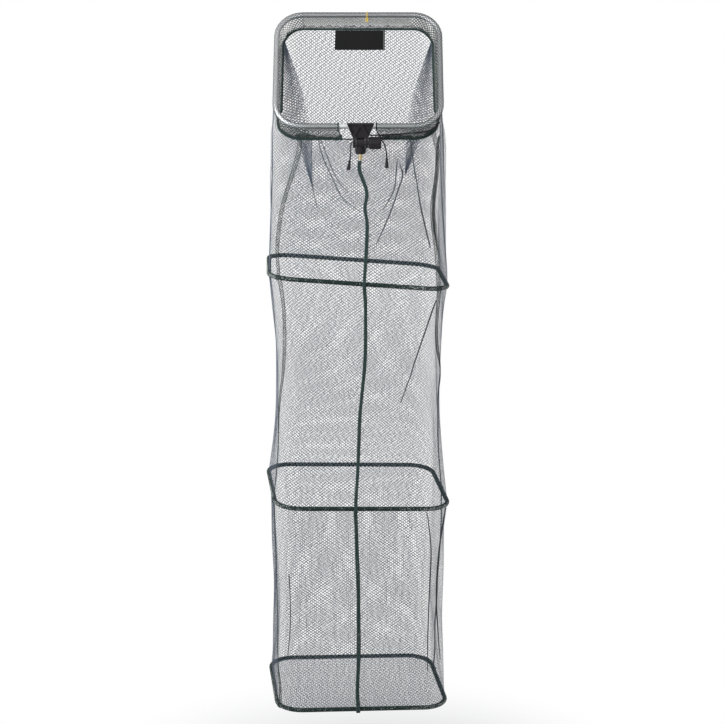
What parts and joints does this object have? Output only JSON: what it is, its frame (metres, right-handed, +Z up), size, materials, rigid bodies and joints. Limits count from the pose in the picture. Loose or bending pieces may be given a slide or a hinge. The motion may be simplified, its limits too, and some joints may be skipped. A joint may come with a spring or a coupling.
{
  "type": "keep net",
  "caption": "Hanging keep net: tilted mouth ring with clamp, stud and drawcord, lashed rounded-rectangle rings, fine netting bays that fold up, netted bottom.",
  "frame": {"origin": "hang point, on the centre line of the mouth ring's back bar where the thread is tied", "axes": "+Z up along the hanging net, +X to the right seen from the clamp side, -Y towards the clamp"},
  "size_m": [0.4804, 0.393, 1.7946],
  "materials": {
    "aluminium": "satin",
    "brass": "satin",
    "steel": "satin",
    "black_plastic": "matte",
    "green_net": "matte",
    "green_cord": "matte",
    "black_cord": "matte",
    "lashing": "matte",
    "label_cloth": "matte",
    "yellow_thread": "matte"
  },
  "bodies": {
    "mouth": {"mouth_ring": "aluminium", "mouth_pocket": "green_net", "mouth_seam": "green_cord", "bay_1_upper": "green_net", "label": "label_cloth", "hang_tie": "yellow_thread", "clamp_block": "black_plastic", "drawcord_left": "black_cord", "drawcord_right": "black_cord", "cord_end_left": "black_cord", "cord_end_right": "black_cord", "cord_tip_left": "black_plastic", "cord_tip_right": "black_plastic"},
    "head": {"tilt_head": "black_plastic", "stud_collar": "black_plastic", "brass_stud": "brass"},
    "knob": {"thumb_knob": "black_plastic", "pivot_bolt": "steel"},
    "second_ring": {"ring_2_bar": "aluminium", "ring_2_sleeve": "lashing", "bay_1_lower": "green_net", "front_seam_1": "green_cord", "left_seam_1": "green_cord", "right_seam_1": "green_cord"},
    "third_ring": {"ring_3_bar": "aluminium", "ring_3_sleeve": "lashing", "bay_2_net": "green_net", "front_seam_2": "green_cord", "left_seam_2": "green_cord", "right_seam_2": "green_cord"},
    "bottom_ring": {"ring_4_bar": "aluminium", "ring_4_sleeve": "lashing", "bay_3_net": "green_net", "front_seam_3": "green_cord", "left_seam_3": "green_cord", "right_seam_3": "green_cord", "bottom_net": "green_net"}
  },
  "joints": [
    {"name": "head_tilt", "type": "hinge", "parent": "mouth", "child": "head", "pos_m": [-0.016, -0.20994, -0.29797], "axis": [-1, 0, 0], "range_deg": [-15, 90]},
    {"name": "knob_turn", "type": "hinge", "parent": "mouth", "child": "knob", "pos_m": [-0.016, -0.20994, -0.29797], "axis": [1, 0, 0], "range_deg": [0, 360]},
    {"name": "bay_1_fold", "type": "slide", "parent": "mouth", "child": "second_ring", "axis": [0, 0, 1], "range_m": [0, 0.27], "deforming": ["bay_1_lower", "front_seam_1", "left_seam_1", "right_seam_1"]},
    {"name": "bay_2_fold", "type": "slide", "parent": "second_ring", "child": "third_ring", "axis": [0, 0, 1], "range_m": [0, 0.52], "deforming": ["bay_2_net", "front_seam_2", "left_seam_2", "right_seam_2"]},
    {"name": "bay_3_fold", "type": "slide", "parent": "third_ring", "child": "bottom_ring", "axis": [0, 0, 1], "range_m": [0, 0.5], "deforming": ["bay_3_net", "front_seam_3", "left_seam_3", "right_seam_3"]}
  ]
}
